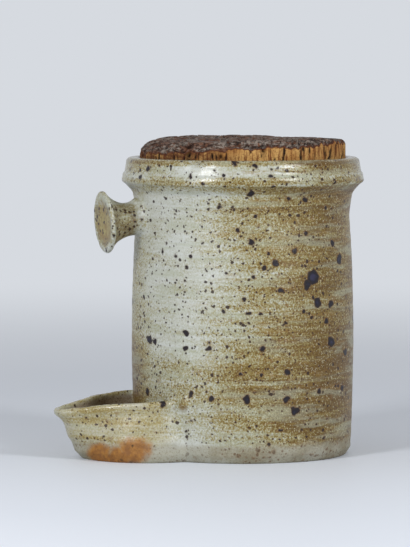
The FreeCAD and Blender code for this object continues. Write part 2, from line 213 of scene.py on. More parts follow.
WOBBLE = 0.35 * MM  # how far the wall is out of true
RIDGE_PITCH = 9.0 * MM  # from one throwing ridge to the next
RIDGE_DEPTH = 0.30 * MM
LIP_WANDER = 0.8 * MM  # up and down, of the collar's lower lip
COLLAR_STEP = 0.8 * MM  # the step round the collar's face
COLLAR_STEP_HEIGHT = RIM - 9.5 * MM
COLLAR_STEP_WANDER = 1.2 * MM
NICK_ANGLE = -133.0  # degrees round the rim
NICK_DEPTH = 1.8 * MM
NICK_DENT = 0.8 * MM  # how far the rim is pressed in there
ROOT_RISE = 4.0 * MM  # how far the knob's root is drawn up the wall
ROOT_SWELL = 1.6 * MM
KNOB_UNEVEN = 0.35 * MM
DISH_UNEVEN = 0.5 * MM
DISH_LEDGE = 13.5 * MM  # height of the finger's ledge round the dish
DISH_LEDGE_WANDER = 1.5 * MM
DISH_LEDGE_DEPTH = 0.7 * MM
DISH_LIP_SWELL = 0.5 * MM
DISH_WAIST = 0.9 * MM  # how deep the hollow under the dish's lip is
LUMP_SIZE = 2.0 * MM  # a lump of slip where the dish's rim meets the wall
LUMP = ((-51 * MM, 6 * MM), (-42 * MM, 6 * MM), (35 * MM, 4 * MM))  # place and width on X, Y, Z
EDGE_SCALE = 0.25 * MM  # how far a full edge stands out


def dish_rim(x):
    """Height of the dish's rim, which falls from the pot to the pouring lip."""
    share = np.clip((-x - WALL_RADIUS) / (SPOUT - WALL_RADIUS), 0.0, 1.0)
    return DISH_TOP - DISH_FALL * share**1.7


def pot_regions(pot, normals):
    """How much each vertex belongs to a part of the pot, from 0 to 1."""
    out = smooth_step(0.2, 0.6, along(normals, pot.radial))
    dish = smooth_step(WALL_RADIUS + 1 * MM, WALL_RADIUS + 4 * MM, pot.radius)
    dish *= smooth_step(DISH_TOP + 6 * MM, DISH_TOP, pot.z) * (pot.x < 0)
    knob = smooth_step(WALL_RADIUS, WALL_RADIUS + 3 * MM, -pot.x) * bump(pot.z, KNOB_HEIGHT, 26 * MM)
    knob *= smooth_step(LIP_HEIGHT - 1 * MM, LIP_HEIGHT - 4 * MM, pot.z)
    collar = smooth_step(LIP_HEIGHT - 3 * MM, LIP_HEIGHT, pot.z) * out
    return SimpleNamespace(
        out=out,
        dish=dish,
        knob=knob,
        collar=collar,
        wall=out * (1 - dish) * (1 - knob) * (1 - collar),
        off_floor=smooth_step(1 * MM, 6 * MM, pot.z),
    )


def throw_wall(pot, on):
    """Out of true, as a thrown wall is, with the ridges that the fingers leave climbing it."""
    pot.push(pot.radial, WOBBLE * pot.noise((55, 55, 28), seed=1) * on.out * on.off_floor)
    climb = pot.z / RIDGE_PITCH + pot.angle / 360.0 + 0.35 * pot.noise((60, 60, 22), seed=2)
    strength = 0.55 + 0.45 * pot.noise((50, 50, 16), seed=3)
    ridge = np.abs(np.sin(np.pi * climb)) ** 0.6 - 0.6
    pot.push(pot.radial, RIDGE_DEPTH * ridge * strength * on.wall * on.off_floor)


def turn_collar(pot, on):
    """A lower lip that wanders, a shallow step round the face, and a nick in the rim."""
    wander = noise_at(unit_radial(pot.points) * LIP_RADIUS, 26, seed=4)
    pot.lift(LIP_WANDER * wander * bump(pot.z, LIP_HEIGHT + 1.5 * MM, 4 * MM) * on.out)
    step_height = COLLAR_STEP_HEIGHT + COLLAR_STEP_WANDER * wander
    step = smooth_step(step_height + 0.8 * MM, step_height - 0.8 * MM, pot.z) - 0.5
    pot.push(pot.radial, COLLAR_STEP * step * on.collar * bump(pot.z, step_height, 5 * MM))
    nick = bump(turn_from(pot.angle, NICK_ANGLE), 0.0, 5.0) * smooth_step(RIM - 7 * MM, RIM, pot.z)
    nick *= smooth_step(WALL_RADIUS - 1 * MM, WALL_RADIUS + 3 * MM, pot.radius)
    pot.lift(-NICK_DEPTH * nick)
    pot.push(pot.radial, -NICK_DENT * nick)


def press_knob(pot, on, normals):
    """The stem is drawn up towards the collar where it was pressed on."""
    root = bump(-pot.x, WALL_RADIUS - 0.5 * MM, 6 * MM) * bump(pot.y, 0.0, 11 * MM)
    root *= smooth_step(KNOB_HEIGHT + 2 * MM, KNOB_HEIGHT + 14 * MM, pot.z) * on.knob
    pot.lift(ROOT_RISE * root)
    pot.push(pot.radial, ROOT_SWELL * root)
    pot.push(normals, KNOB_UNEVEN * pot.noise(9, seed=6) * on.knob)


def pinch_dish(pot, on, normals, outside):
    """A ledge left by the fingers outside, a fuller lip, an uneven slope, a lump of slip."""
    ledge = DISH_LEDGE + DISH_LEDGE_WANDER * pot.noise(24, seed=7)
    pot.push(normals, DISH_LEDGE_DEPTH * bump(pot.z, ledge, 2.6 * MM) * outside)
    below_rim = dish_rim(pot.x) - pot.z
    pot.push(normals, DISH_LIP_SWELL * bump(below_rim, 2 * MM, 2.5 * MM) * outside)
    pot.push(normals, -DISH_WAIST * bump(below_rim, 8.5 * MM, 4 * MM) * outside)
    pot.push(normals, DISH_UNEVEN * pot.noise((16, 16, 9), seed=8) * on.dish * on.off_floor)
    lump = np.prod([bump(value, *spot) for value, spot in zip(pot.points.T, LUMP)], axis=0)
    pot.push(normals, LUMP_SIZE * lump * (0.6 + 0.8 * pot.noise(5, seed=9)))


def throw_pot():
    """The pot with the marks of the wheel, the hand and the knife."""
    pot = Surface("pot", "pot_glazed", POT_VOXEL)
    normals = pot.normals()
    on = pot_regions(pot, normals)
    throw_wall(pot, on)
    turn_collar(pot, on)
    press_knob(pot, on, normals)
    outward = along(normals, unit_radial(pot.points - DISH_CENTRE))
    pinch_dish(pot, on, normals, on.dish * smooth_step(0.1, 0.5, outward))

    # Nothing goes below the foot or past the tip of the pouring lip.
    pot.points[:, 2] = np.maximum(pot.z, POT_LOW.z)
    pot.points[:, 0] = np.maximum(pot.x, POT_LOW.x)
    pot.write()
    pot.mark("edge", pot.convexity(4) / EDGE_SCALE)
    below_rim = dish_rim(pot.x) - pot.z
    inward = smooth_step(0.3, -0.3, outward)
    pot.mark("inside", on.dish * inward * smooth_step(1.0 * MM, 3.5 * MM, below_rim))
    pot.mark("lip", on.dish * bump(below_rim, 1.0 * MM, 3 * MM))
    return pot


# ---- the lid

BARK_DEPTH = 4.5 * MM  # how far the bark comes down the side
BARK_RAGGED = 2.4 * MM  # how unevenly it ends there
BARK_HANG = 6.0 * MM  # how much lower it hangs beside the knob
KNOB_SIDE = 175.0  # degrees, the side of the lid where it does
EDGE_WEAR = 0.6 * MM  # how far down the top's edge is worn
EDGE_REACH = 3 * MM  # and how far in
KNOB_SIDE_WEAR = 4.4 * MM  # the same, added beside the knob
KNOB_SIDE_REACH = 7 * MM
CRACKS = ((8, 0.5, 13), (4, 0.3, 14), (2.2, 0.2, 15))  # size in mm, share and seed
CRACK_DEPTH = 3.0 * MM
CRACK_STRETCH = 2.2  # how much longer than wide they are, along Y, where the tree grew
PLATE_DEPTH = 0.8 * MM
RIGHT_RISE = 1.2 * MM  # how much thicker the lid is at its right end
CRUMBLE_DEPTH = 0.9 * MM
PORE_DEPTH = 0.8 * MM
HOLE_DEPTH = 2.5 * MM
HOLLOW_SCALE = 0.12 * MM  # how deep a full hollow lies

# Holes in the lid's side: angle in degrees, half-width in degrees, depth below the top in mm.
HOLES = [(-142, 3.0, 6), (-140.5, 1.0, 11), (-97.5, 1.2, 7), (-121, 1.3, 12), (30, 2.4, 7), (95, 1.4, 9)]


def hang_bark(cork):
    """Where the bark is: it ends raggedly on the sawn side, and is worn round at its edge."""
    around = cork.radial * CORK_RADIUS
    ragged = noise_at(around, 9, seed=11) + 0.8 * noise_at(around, 2.6, seed=12)
    to_knob = bump(turn_from(cork.angle, KNOB_SIDE), 0.0, 50.0)
    bark_low = CORK_TOP - BARK_DEPTH - BARK_RAGGED * ragged - BARK_HANG * to_knob
    bark = smooth_step(bark_low - 0.9 * MM, bark_low + 0.9 * MM, cork.z)
    reach = EDGE_REACH + KNOB_SIDE_REACH * to_knob
    worn = np.clip((cork.radius - (CORK_RADIUS - reach)) / reach, 0, 1) ** 2
    worn *= EDGE_WEAR + KNOB_SIDE_WEAR * to_knob
    cork.lift(-worn * smooth_step(CORK_TOP - 9 * MM, CORK_TOP - 2 * MM, cork.z))
    return bark


def tear_top(cork, top):
    """Sunken plates and fissures; returns how deep in a fissure each vertex is, 0 to 1."""
    cracks = np.zeros(cork.count)
    for size, share, seed in CRACKS:
        grain = (size, CRACK_STRETCH * size, size)
        cracks += share * (1 - np.abs(cork.noise(grain, seed))) ** 4
    plates = cork.noise((14, 26, 14), seed=16)
    sink = PLATE_DEPTH * (1 - plates) + CRACK_DEPTH * smooth_step(0.35, 1.0, cracks)
    inner = smooth_step(CORK_RADIUS, CORK_RADIUS - 3 * MM, cork.radius)
    cork.lift(-np.maximum(sink, 0) * top * inner)
    to_right = cork.x * VIEW_RIGHT_X + cork.y * VIEW_RIGHT_Y
    cork.lift(RIGHT_RISE * smooth_step(20 * MM, 55 * MM, to_right) * top)
    return smooth_step(0.45, 0.95, cracks) * top


def open_side(cork, bark, side, bare):
    """Crumbling bark, pores that run up through the cork, and holes; returns the last two."""
    layers = cork.noise((5, 5, 1.3), seed=17)
    crumbs = cork.noise(1.8, seed=18)
    cork.push(cork.radial, -CRUMBLE_DEPTH * (0.6 + 0.5 * layers + 0.5 * crumbs) * bark * side * bare)
    clusters = noise_at(cork.radial * CORK_RADIUS, 6, seed=20)
    slot = cork.noise((1.4, 1.4, 7.0), seed=19) + 0.4 * clusters
    pore = smooth_step(0.26, 0.44, slot) * (1 - 0.7 * bark) * side * bare
    cork.push(cork.radial, -PORE_DEPTH * pore)
    hole = np.zeros(cork.count)
    for centre, width, drop in HOLES:
        hole += bump(turn_from(cork.angle, centre), 0.0, width) * bump(cork.z, CORK_TOP - drop * MM, 4 * MM)
    hole *= smooth_step(-0.6, 0.4, crumbs + 0.5 * layers) * side
    cork.push(cork.radial, -HOLE_DEPTH * hole)
    return pore, hole


def cut_cork():
    """The lid: sawn cork below, torn bark above."""
    cork = Surface("cork_lid", "cork_bark", CORK_VOXEL)
    side = smooth_step(CORK_RADIUS - 3 * MM, CORK_RADIUS - 1 * MM, cork.radius)
    bare = smooth_step(RIM - 8 * MM, RIM - 3 * MM, cork.z)
    bark = hang_bark(cork)
    top = smooth_step(CORK_TOP - 10 * MM, CORK_TOP - 4 * MM, cork.z)
    fissure = tear_top(cork, top)
    pore, hole = open_side(cork, bark, side, bare)

    cork.write()
    hollow = np.clip(-cork.convexity(2) / HOLLOW_SCALE, 0, 1)
    inner = smooth_step(CORK_RADIUS - 1.5 * MM, CORK_RADIUS - 4 * MM, cork.radius)
    cork.mark("bark", np.maximum(bark, inner * top))
    # Pores are dark cork; the holes, marked with them, are painted near black as shade.
    cork.mark("pore", np.maximum(pore, hole))
    # Painted shade: the deep mark darkens fissures, hollows and holes, over the fissures' own dark colour.
    cork.mark("deep", np.clip(fissure + 0.7 * hollow + hole, 0, 1))
    return cork


# ---------------------------------------------------------------- materials


def colour(red, green, blue):
    """A colour written on the usual 0 to 255 scale, as the renderer's linear values."""

    def linear(value):
        share = value / 255
        return share / 12.92 if share <= 0.04045 else ((share + 0.055) / 1.055) ** 2.4

    return (linear(red), linear(green), linear(blue), 1.0)


class Shader:
    """A material's nodes, added by short calls.  Lengths inside it are millimetres."""

    def __init__(self, name):
        self.material = bpy.data.materials.new(name)
        self.material.use_nodes = True
        self.tree = self.material.node_tree
        self.surface = self.tree.nodes["Principled BSDF"]
        place = self.tree.nodes.new("ShaderNodeTexCoord").outputs["Object"]
        self.place = self.vector("MULTIPLY", place, (1 / MM,) * 3)

    def join(self, target, value):
        if isinstance(value, bpy.types.NodeSocket):
            self.tree.links.new(value, target)
        else:
            target.default_value = value

    def vector(self, operation, *values):
        node = self.tree.nodes.new("ShaderNodeVectorMath")
        node.operation = operation
        for target, value in zip(node.inputs, values):
            self.join(target, value)
        return node.outputs["Value" if operation in ("DISTANCE", "DOT_PRODUCT", "LENGTH") else "Vector"]

    def vector_of(self, *values):
        node = self.tree.nodes.new("ShaderNodeCombineXYZ")
        for target, value in zip(node.inputs, values):
            self.join(target, value)
        return node.outputs[0]

    def axes(self, vector):
        node = self.tree.nodes.new("ShaderNodeSeparateXYZ")
        self.join(node.inputs[0], vector)
        return node.outputs

    def maths(self, operation, first, *others):
        """One operation worked along all the values in turn."""
        for item in others:
            node = self.tree.nodes.new("ShaderNodeMath")
            node.operation = operation
            self.join(node.inputs[0], first)
            self.join(node.inputs[1], item)
            first = node.outputs[0]
        return first

    def total(self, *values):
        return self.maths("ADD", *values)

    def times(self, *values):
        return self.maths("MULTIPLY", *values)

    def less(self, first, second):
        return self.maths("SUBTRACT", first, second)

    def largest(self, *values):
        return self.maths("MAXIMUM", *values)

    def smallest(self, *values):
        return self.maths("MINIMUM", *values)

    def size_of(self, value):
        """A number without its sign."""
        return self.maths("ABSOLUTE", value, 0.0)

    def step(self, value, low, high, start=0.0, end=1.0):
        """Goes smoothly from start to end as the value goes from low to high."""
        node = self.tree.nodes.new("ShaderNodeMapRange")
        node.interpolation_type = "SMOOTHSTEP"
        for target, item in zip(node.inputs[:5], (value, low, high, start, end)):
            self.join(target, item)
        return node.outputs[0]

    def band(self, value, centre, width):
        """1 at the centre, falling smoothly to 0 at a width to either side."""
        return self.step(self.size_of(self.less(value, centre)), width, 0.0)

    def spread(self, noise_value, amount):
        """Noise of 0 to 1 moved to lie about 0."""
        return self.times(self.less(noise_value, 0.5), amount)

    def reach(self, centre, sizes):
        """Distance from a centre, with 1 at the given half-widths."""
        away = self.vector("DIVIDE", self.vector("SUBTRACT", self.place, centre), sizes)
        return self.vector("LENGTH", away)

    def beyond(self, place, centre, size):
        """Distance from a ball's surface, below 0 inside it."""
        return self.less(self.vector("DISTANCE", place, centre), size)

    def ramp(self, value, stops):
        """The colour at a value between stops, each a place from 0 to 1 and a colour."""
        node = self.tree.nodes.new("ShaderNodeValToRGB")
        marks = node.color_ramp.elements
        while len(marks) < len(stops):
            marks.new(1.0)
        for mark, (position, tone) in zip(marks, stops):
            mark.position = position
            mark.color = tone
        self.join(node.inputs["Fac"], value)
        return node.outputs["Color"]

    def mix(self, factor, first, second):
        node = self.tree.nodes.new("ShaderNodeMix")
        node.data_type = "RGBA"
        self.join(node.inputs["Factor"], factor)
        first_colour, second_colour = [socket for socket in node.inputs if socket.type == "RGBA"]
        self.join(first_colour, first)
        self.join(second_colour, second)
        return next(socket for socket in node.outputs if socket.type == "RGBA")

    def noise(self, period, seed, detail=3.0, roughness=0.6):
        """Noise of 0 to 1; the period is in mm, one number or one for each axis."""
        sizes = (period,) * 3 if isinstance(period, (int, float)) else period
        shift = (seed * 7.1, seed * 3.7, seed * 5.3)
        scaled = self.vector("MULTIPLY_ADD", self.place, tuple(1 / size for size in sizes), shift)
        node = self.tree.nodes.new("ShaderNodeTexNoise")
        node.inputs["Scale"].default_value = 1.0
        node.inputs["Detail"].default_value = detail
        node.inputs["Roughness"].default_value = roughness
        self.join(node.inputs["Vector"], scaled)
        return node.outputs["Fac"]

    def drift(self, period, seed, amount):
        """Noise on each axis, about 0 and in mm, that moves a place about."""
        node = self.tree.nodes.new("ShaderNodeTexNoise")
        node.inputs["Scale"].default_value = 1 / period
        node.inputs["Detail"].default_value = 1.0
        self.join(node.inputs["Vector"], self.vector("ADD", self.place, (seed, seed * 2, seed * 3)))
        about = self.vector("SUBTRACT", node.outputs["Color"], (0.5, 0.5, 0.5))
        return self.vector("MULTIPLY", about, (amount,) * 3)

    def dots(self, place, spacing, small, large, share, seed):
        """Distance to the edge of round spots scattered about, in mm, below 0 inside one."""
        shift = (seed * 4.9, seed * 8.3, seed * 2.7)
        scaled = self.vector("MULTIPLY_ADD", place, (1 / spacing,) * 3, shift)
        node = self.tree.nodes.new("ShaderNodeTexVoronoi")
        node.inputs["Scale"].default_value = 1.0
        self.join(node.inputs["Vector"], scaled)
        dice = self.axes(node.outputs["Color"])
        size = self.step(dice[1], 0.0, 1.0, small, large)
        size = self.times(size, self.step(dice[0], share, share + 0.01, 1.0, 0.0))
        absent = self.step(size, 0.01, 0.0, 0.0, spacing)
        gap = self.less(self.times(node.outputs["Distance"], spacing), size)
        return self.total(gap, absent)

    def attribute(self, name):
        node = self.tree.nodes.new("ShaderNodeAttribute")
        node.attribute_name = name
        return node.outputs["Fac"]

    def bump(self, height, distance, below=None):
        node = self.tree.nodes.new("ShaderNodeBump")
        node.inputs["Distance"].default_value = distance
        node.inputs["Strength"].default_value = 1.0
        self.join(node.inputs["Height"], height)
        if below is not None:
            self.join(node.inputs["Normal"], below)
        return node.outputs["Normal"]

    def finish(self, base, roughness, normal, specular):
        self.join(self.surface.inputs["Base Color"], base)
        self.join(self.surface.inputs["Roughness"], roughness)
        self.join(self.surface.inputs["Normal"], normal)
        self.surface.inputs["Specular IOR Level"].default_value = specular
        return self.material


# ---- the glaze

# From thick and pale to thin and brown.
TONES = [
    (0.00, colour(194, 197, 191)),
    (0.25, colour(173, 174, 157)),
    (0.50, colour(148, 140, 97)),
    (0.75, colour(128, 108, 51)),
    (1.00, colour(96, 70, 20)),
]
DISH_TINT = colour(166, 148, 94)
RUST = colour(138, 108, 50)
POOL = colour(164, 168, 146)
GRIT = colour(76, 50, 22)
FLOUR = colour(194, 188, 158)
STEM_GREY_AND_SHADE = colour(104, 92, 72)
PALE_OCHRE = colour(156, 142, 84)
DARK_OCHRE = colour(130, 106, 50)
STARVED_DARK = colour(108, 86, 68)
STARVED_PALE = colour(154, 142, 122)
STARVED_GRAIN = colour(96, 76, 58)
CLAY_PALE = colour(160, 158, 144)
CLAY_DARK = colour(136, 130, 110)
CLAY_GRAIN = colour(112, 104, 86)
FLAME_DARK = colour(128, 78, 20)
FLAME_PALE = colour(160, 106, 32)
HALO = colour(112, 74, 34)
IRON_EDGE = colour(36, 20, 14)
IRON = colour(12, 7, 20)
IRON_HIGHLIGHT = colour(38, 36, 62)

# The same sizes as above, in mm, as the shader counts.
WALL = WALL_RADIUS / MM
RIM_HIGH = RIM / MM
LIP_HIGH = LIP_HEIGHT / MM
KNOB_MIDDLE = 137  # height of the middle of what is glazed as the knob
FACE_MIDDLE = KNOB_FACE_HEIGHT / MM - 1.5  # of the ochre on the knob's face

# The largest iron blotches: angle round the pot in degrees, height and radius in mm.
BLOTCHES = [
    (-70, 109, 4.4), (-74, 105, 2.6), (-67, 94, 2.9), (-57, 93, 2.6), (-48, 119, 3.2),
    (-57, 70, 3.3), (-54, 129, 2.2), (-81, 31, 2.7), (-86, 38, 2.3), (-107, 39, 2.4),
    (-165, 71, 2.9), (-160, 71, 2.0), (-139, 68, 1.8), (-126, 68, 1.7), (-105, 159, 2.5), (-139, 77, 2.0),
    (-42, 63, 2.4), (-92, 118, 2.1), (-99, 69, 1.8), (-122, 173, 1.0), (-103, 175, 1.3),
    (-75, 155, 1.6), (-102, 146, 1.3), (-112, 137, 1.3), (-105, 131, 1.8), (-74, 135, 1.6),
    (-81, 125, 1.8), (-98, 115, 1.3), (-89, 102, 1.6), (-61, 83, 1.9), (-106, 89, 1.1),
    (-118, 90, 1.1), (-144, 116, 1.1), (-139, 116, 1.0), (-171, 96, 1.4), (-121, 151, 1.2),
    (-86, 54, 1.9), (-100, 53, 1.3), (-125, 39, 1.6), (-66, 42, 1.6), (-89, 20, 1.3),
    (-167, 40, 2.2), (-136, 41, 1.8), (-45, 42, 2.0), (-146, 122, 0.9), (-110, 54, 1.1),
    (-96, 169, 1.3), (-87, 173, 1.0), (-134, 169, 1.2), (-161, 173, 1.8), (-166, 168, 1.4),
    (-60, 165, 0.9), (-68, 171, 0.9), (-113, 177, 1.3), (-153, 175, 0.9), (-128, 165, 0.9),
]
FAR_SIDE = (-30, 175)  # angles of the side that the list above leaves bare
FAR_HEIGHTS = (16, 156)
FAR_BLOTCHES = 40
FAR_SEED = 5

# Blotches on the dish: centre and radius in mm.  The smear is rust on the lump at its join.
DISH_BLOTCHES = [
    ((-62.5, -37, 35), 2.3), ((-83, -33, 24), 1.2), ((-97, -22, 20), 1.0), ((-70, -40, 27), 1.3),
]
SMEAR = ((-51, -42, 33), 2.6)

# Orange flashes where flame licked the clay: centre and half-widths in mm.
FLASHES = [
    ((-80, -35, 8), (11, 11, 8)),
    ((-95, -21, 3), (12, 12, 8)),
    ((-87, -29, 4), (8, 8, 7)),
]

# Rings that the wheel left in the glaze: height and half-width in mm, and how much thinner
# it is there.  The narrow ones below 0 are thick and pale.
RINGS = [
    (149, 3, 0.26), (131, 4, 0.10), (117, 3, 0.12), (103, 2.5, 0.10), (86, 4, 0.12),
    (77, 2.5, 0.20), (67, 2, 0.12), (57, 4, 0.14), (44, 2.5, 0.16), (36, 2, 0.12), (24, 3, 0.14),
    (151.5, 0.8, -0.30), (96, 0.6, -0.25), (75, 0.6, -0.20), (72, 0.6, 0.20), (47.5, 0.6, -0.35),
    (50, 0.7, 0.25),
]


def all_blotches():
    """The listed blotches, and more that are scattered by chance over the far side."""
    draw = random.Random(FAR_SEED)
    yield from BLOTCHES
    for _ in range(FAR_BLOTCHES):
        yield draw.uniform(*FAR_SIDE), draw.uniform(*FAR_HEIGHTS), 1.0 + 2.4 * draw.random() ** 2


def wall_place(angle, height):
    """A place on a plain wall, in mm, from an angle round it and a height."""
    turn = math.radians(angle)
    return (WALL * math.cos(turn), WALL * math.sin(turn), height)


def glaze_regions(shade):
    """Places on the pot, the marks that its mesh carries, and the noises used more than once."""
    height = shade.axes(shade.place)[2]
    radius = shade.vector("LENGTH", shade.vector("MULTIPLY", shade.place, (1, 1, 0)))
    return SimpleNamespace(
        height=height,
        radius=radius,
        across=shade.vector("DOT_PRODUCT", shade.place, (VIEW_RIGHT_X / WALL, VIEW_RIGHT_Y / WALL, 0)),
        collar=shade.step(height, LIP_HIGH - 1, LIP_HIGH + 1),
        dish=shade.times(shade.step(radius, WALL + 1, WALL + 14), shade.step(height, 46, 40)),
        knob=shade.times(shade.step(radius, WALL + 2, WALL + 8), shade.band(height, KNOB_MIDDLE, 26)),
        edge=shade.attribute("edge"),
        inside=shade.attribute("inside"),
        lip=shade.attribute("lip"),
        bands=shade.noise((70, 70, 11), seed=1),
        clouds=shade.noise(26, seed=3),
        sand=shade.noise(1.1, seed=4, roughness=0.75),
        ragged=shade.spread(shade.noise(8, seed=7), 1.0),
    )


def glaze_thinness_and_shading(shade, on):
    """How thin the glaze is, from about 0 to 1, with painted shade and a painted highlight added in.  One
    side of the pot stood nearer the fire, and the glaze thins from there round to the other, the view's
    right."""
    across, height = on.across, on.height
    thinness_and_shading = shade.total(
        shade.step(across, -0.50, 0.20, 0.12, 0.58),
        shade.step(across, 0.15, 0.80, 0.0, 0.30),
    )
    thinness_and_shading = shade.times(thinness_and_shading, shade.step(on.collar, 0, 1, 1.0, 0.45))
    streaky = shade.total(shade.step(across, -0.5, 0.3, 0.35, 1.0), shade.times(on.dish, 0.7))
    streaks = shade.total(
        shade.spread(shade.noise((40, 40, 4.5), seed=12, detail=2.0, roughness=0.5), 0.6),
        shade.spread(shade.noise((26, 26, 1.3), seed=2, detail=2.0), 0.7),
    )
    wavering = shade.spread(shade.noise(40, seed=13, detail=2.0, roughness=0.5), 4.0)
    wavering = shade.total(height, wavering)
    rings = [shade.times(shade.band(wavering, high, width), amount) for high, width, amount in RINGS]
    # Painted shade: darker and browner down the view's left edge, more so low on the wall, where the glaze is
    # also browner.
    shaded_edge = shade.times(
        shade.band(across, -1.0, 0.20),
        shade.step(height, 85, 45, 0.25, 0.75),
        shade.step(on.radius, WALL + 1, WALL + 4, 1.0, 0.0),
    )
    # Painted shade: browner at the collar's two ends as seen, where it turns away from the view, over its own
    # ochre there.
    collar_ends = shade.step(shade.size_of(shade.total(across, 0.10)), 0.40, 0.85, 0.0, 0.52)
    return shade.total(
        thinness_and_shading,
        shaded_edge,
        shade.times(shade.total(*rings), streaky),
        shade.times(streaks, streaky),
        shade.spread(on.bands, 0.7),
        shade.spread(on.clouds, 0.45),
        shade.times(shade.band(height, 45, 42), 0.22),  # low on the wall
        shade.times(on.dish, 0.19),
        # Painted shade: the knob darker, as its stem is shaded under the face, besides its browner glaze.
        shade.times(on.knob, 0.50),
        # Painted highlight: the dish's lip paler, where the lamps catch it.
        shade.times(on.lip, -0.38),
        # Painted shade: browner under the collar's lip, where its shadow falls, over an ochre band of glaze.
        shade.times(shade.band(height, LIP_HIGH - 1.5, 3.5), 0.20),  # under the collar's lip
        shade.times(shade.band(height, LIP_HIGH + 2.5, 2.0), 0.30),  # along it
        shade.times(shade.band(height, RIM_HIGH - 1.5, 2.5), 0.35),  # round the rim
        # Painted shade at the collar's ends, over its ochre, in its upper part.
        shade.times(shade.band(height, RIM_HIGH - 4, 8), collar_ends),
        # Glaze runs thin off an edge, but the knob's edge is made paler.
        shade.times(shade.step(on.edge, 0.2, 1.2), shade.step(on.clouds, 0.35, 0.6, 0.05, 0.25)),
        shade.times(shade.step(on.edge, 0.2, 1.0), on.knob, -0.55),
    )


def mottled_glaze(shade, on, thinness_and_shading):
    """The glaze's own colours: mottling as fine as sand, rust, pools, grit and flour."""
    strength = shade.step(thinness_and_shading, 0.0, 0.5, 1.1, 2.6)
    strength = shade.times(strength, shade.step(on.dish, 0.0, 1.0, 1.0, 0.7))
    base = shade.ramp(shade.total(thinness_and_shading, shade.spread(on.sand, strength)), TONES)
    base = shade.mix(shade.times(on.dish, 0.35), base, DISH_TINT)

    # Rust in broken streaks, greener pools between, and grit that stands out of both.
    rust = shade.step(shade.noise((17, 17, 2.8), seed=21, roughness=0.65), 0.52, 0.66)
    base = shade.mix(shade.times(rust, shade.step(on.across, -0.5, 0.15, 0.08, 0.42)), base, RUST)
    base = shade.mix(shade.step(shade.noise((34, 34, 5), seed=22), 0.48, 0.66, 0.0, 0.46), base, POOL)
    gritty = shade.step(thinness_and_shading, 0.1, 0.5, 0.12, 0.65)
    for period, seed, grain in ((1.0, 23, GRIT), (1.1, 24, FLOUR)):
        scattered = shade.step(shade.noise(period, seed=seed, detail=2.0), 0.57, 0.68)
        base = shade.mix(shade.times(scattered, gritty), base, grain)
    return base


def paint_knob(shade, on, base):
    """The stem is a greyer brown, darkened also as painted shade; the middle of the face is ochre, within a
    pale rim.
    """
    # Painted shade on the knob away from its edges, mixed with the stem's greyer brown glaze.
    stem = shade.times(on.knob, shade.step(on.edge, 0.6, 0.0, 0.0, 0.60))
    base = shade.mix(stem, base, STEM_GREY_AND_SHADE)
    face = shade.reach((-KNOB_FACE / MM, 0, FACE_MIDDLE), (9, 16, 17))
    face = shade.step(shade.total(face, shade.spread(shade.noise(9, seed=31), 1.0)), 0.95, 0.62)
    patches = shade.step(shade.noise(4, seed=32, roughness=0.7), 0.4, 0.6)
    return shade.mix(shade.times(face, 0.9), base, shade.mix(patches, PALE_OCHRE, DARK_OCHRE))


def starve_dish(shade, on, base):
    """Inside the dish the glaze is starved, dull and darker."""
    starved = shade.mix(on.bands, STARVED_DARK, STARVED_PALE)
    starved = shade.mix(shade.step(on.sand, 0.45, 0.7), starved, STARVED_GRAIN)
    return shade.mix(shade.times(on.inside, 0.85), base, starved)


def bare_foot(shade, on, foot, base):
    """Grey clay, speckled with grains, below the ragged end of the glaze."""
    clay = shade.mix(shade.step(on.clouds, 0.35, 0.65), CLAY_PALE, CLAY_DARK)
    clay = shade.mix(shade.step(on.sand, 0.5, 0.75), clay, CLAY_GRAIN)
    return shade.mix(shade.times(foot, 0.85), base, clay)


def flash_dish(shade, on, base):
    """Orange flashes on the dish's outside."""
    flash = shade.largest(*[
        shade.step(shade.total(shade.reach(centre, sizes), on.ragged), 1.22, 0.62)
        for centre, sizes in FLASHES
    ])
    flash = shade.times(flash, shade.step(on.inside, 0.05, 0.35, 0.92, 0.0))
    patches = shade.step(shade.noise(5, seed=8, roughness=0.7), 0.35, 0.65)
    return shade.mix(flash, base, shade.mix(patches, FLAME_DARK, FLAME_PALE))


def blotch_gap(shade, on, moved, bending):
    """Distance to the nearest large spot of iron, in mm, below 0 inside one.  The wall's are
    measured with the wall drawn in to one radius, so that they keep their size on its belly."""
    drawn_in = shade.maths("DIVIDE", WALL, on.radius)
    on_wall = shade.vector("MULTIPLY", shade.place, shade.vector_of(drawn_in, drawn_in, 1.0))
    on_wall = shade.vector("ADD", on_wall, bending)
    gap = shade.smallest(*[
        shade.beyond(on_wall, wall_place(angle, high), size) for angle, high, size in all_blotches()
    ])
    past_lip = shade.step(on.radius, LIP_RADIUS / MM + 1, LIP_RADIUS / MM + 4, 0.0, 9.0)
    warped = shade.vector("ADD", shade.place, bending)
    return shade.smallest(
        shade.total(gap, past_lip),
        shade.dots(moved, spacing=9.0, small=0.7, large=1.3, share=0.45, seed=3),
        *[shade.beyond(warped, centre, size) for centre, size in DISH_BLOTCHES],
    )


def speck_gap(shade, on, moved):
    """Distance to the nearest fine speck of iron, in mm; there are more on the knob."""
    gap = shade.smallest(
        shade.dots(moved, spacing=2.4, small=0.28, large=0.60, share=0.6, seed=1),
        shade.dots(moved, spacing=4.0, small=0.5, large=1.05, share=0.65, seed=2),
    )
    gap = shade.total(gap, shade.step(on.dish, 0.3, 1.0, 0.0, 0.12))
    knob_gap = shade.dots(moved, spacing=3.4, small=0.5, large=1.1, share=0.75, seed=8)
    return shade.smallest(gap, shade.total(knob_gap, shade.step(on.knob, 0.2, 0.6, 3.0, 0.0)))


